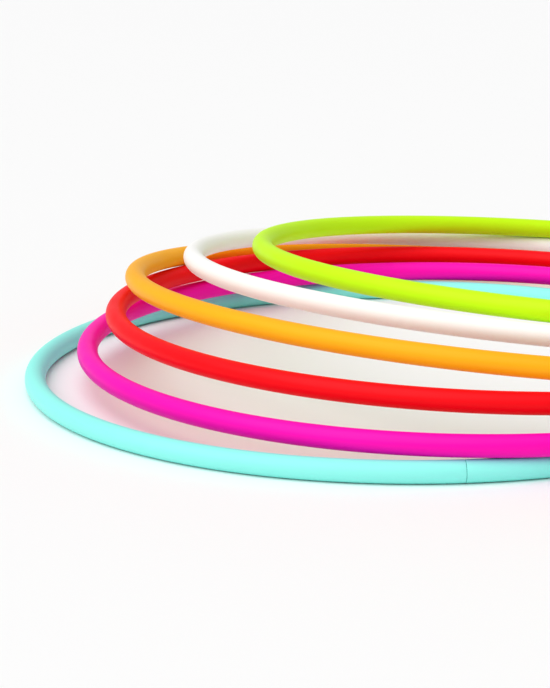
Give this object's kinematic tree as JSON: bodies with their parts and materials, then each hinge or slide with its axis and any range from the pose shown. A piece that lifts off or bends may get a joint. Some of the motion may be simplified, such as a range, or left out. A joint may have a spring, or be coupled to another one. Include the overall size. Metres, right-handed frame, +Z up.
{
  "type": "rhythmic gymnastics hoops",
  "caption": "Fanned pile of round plastic-tube gymnastics hoops in bright colours, each tube closed over an inner joining plug.",
  "frame": {"origin": "on the floor, under the middle of the whole pile of hoops", "axes": "+X the way the pile fans out, +Y from the near side to the far side, +Z up"},
  "size_m": [0.9078, 0.7933, 0.1291],
  "materials": {
    "turquoise_plastic": "satin extruded polyethylene",
    "magenta_plastic": "satin extruded polyethylene",
    "red_plastic": "satin extruded polyethylene",
    "orange_plastic": "satin extruded polyethylene",
    "white_plastic": "satin extruded polyethylene",
    "lime_plastic": "satin extruded polyethylene",
    "plug_plastic": "moulded, plain black"
  },
  "bodies": {
    "turquoise_hoop": {"turquoise_tube": "turquoise_plastic", "turquoise_plug": "plug_plastic"},
    "magenta_hoop": {"magenta_tube": "magenta_plastic", "magenta_plug": "plug_plastic"},
    "red_hoop": {"red_tube": "red_plastic", "red_plug": "plug_plastic"},
    "orange_hoop": {"orange_tube": "orange_plastic", "orange_plug": "plug_plastic"},
    "white_hoop": {"white_tube": "white_plastic", "white_plug": "plug_plastic"},
    "lime_hoop": {"lime_tube": "lime_plastic", "lime_plug": "plug_plastic"}
  },
  "joints": [
    {"name": "magenta_lift", "type": "slide", "parent": "turquoise_hoop", "child": "magenta_hoop", "axis": [0, 0, 1], "range_m": [0, 0.2]},
    {"name": "red_lift", "type": "slide", "parent": "magenta_hoop", "child": "red_hoop", "axis": [0, 0, 1], "range_m": [0, 0.2]},
    {"name": "orange_lift", "type": "slide", "parent": "red_hoop", "child": "orange_hoop", "axis": [0, 0, 1], "range_m": [0, 0.2]},
    {"name": "white_lift", "type": "slide", "parent": "orange_hoop", "child": "white_hoop", "axis": [0, 0, 1], "range_m": [0, 0.2]},
    {"name": "lime_lift", "type": "slide", "parent": "white_hoop", "child": "lime_hoop", "axis": [0, 0, 1], "range_m": [0, 0.2]}
  ]
}
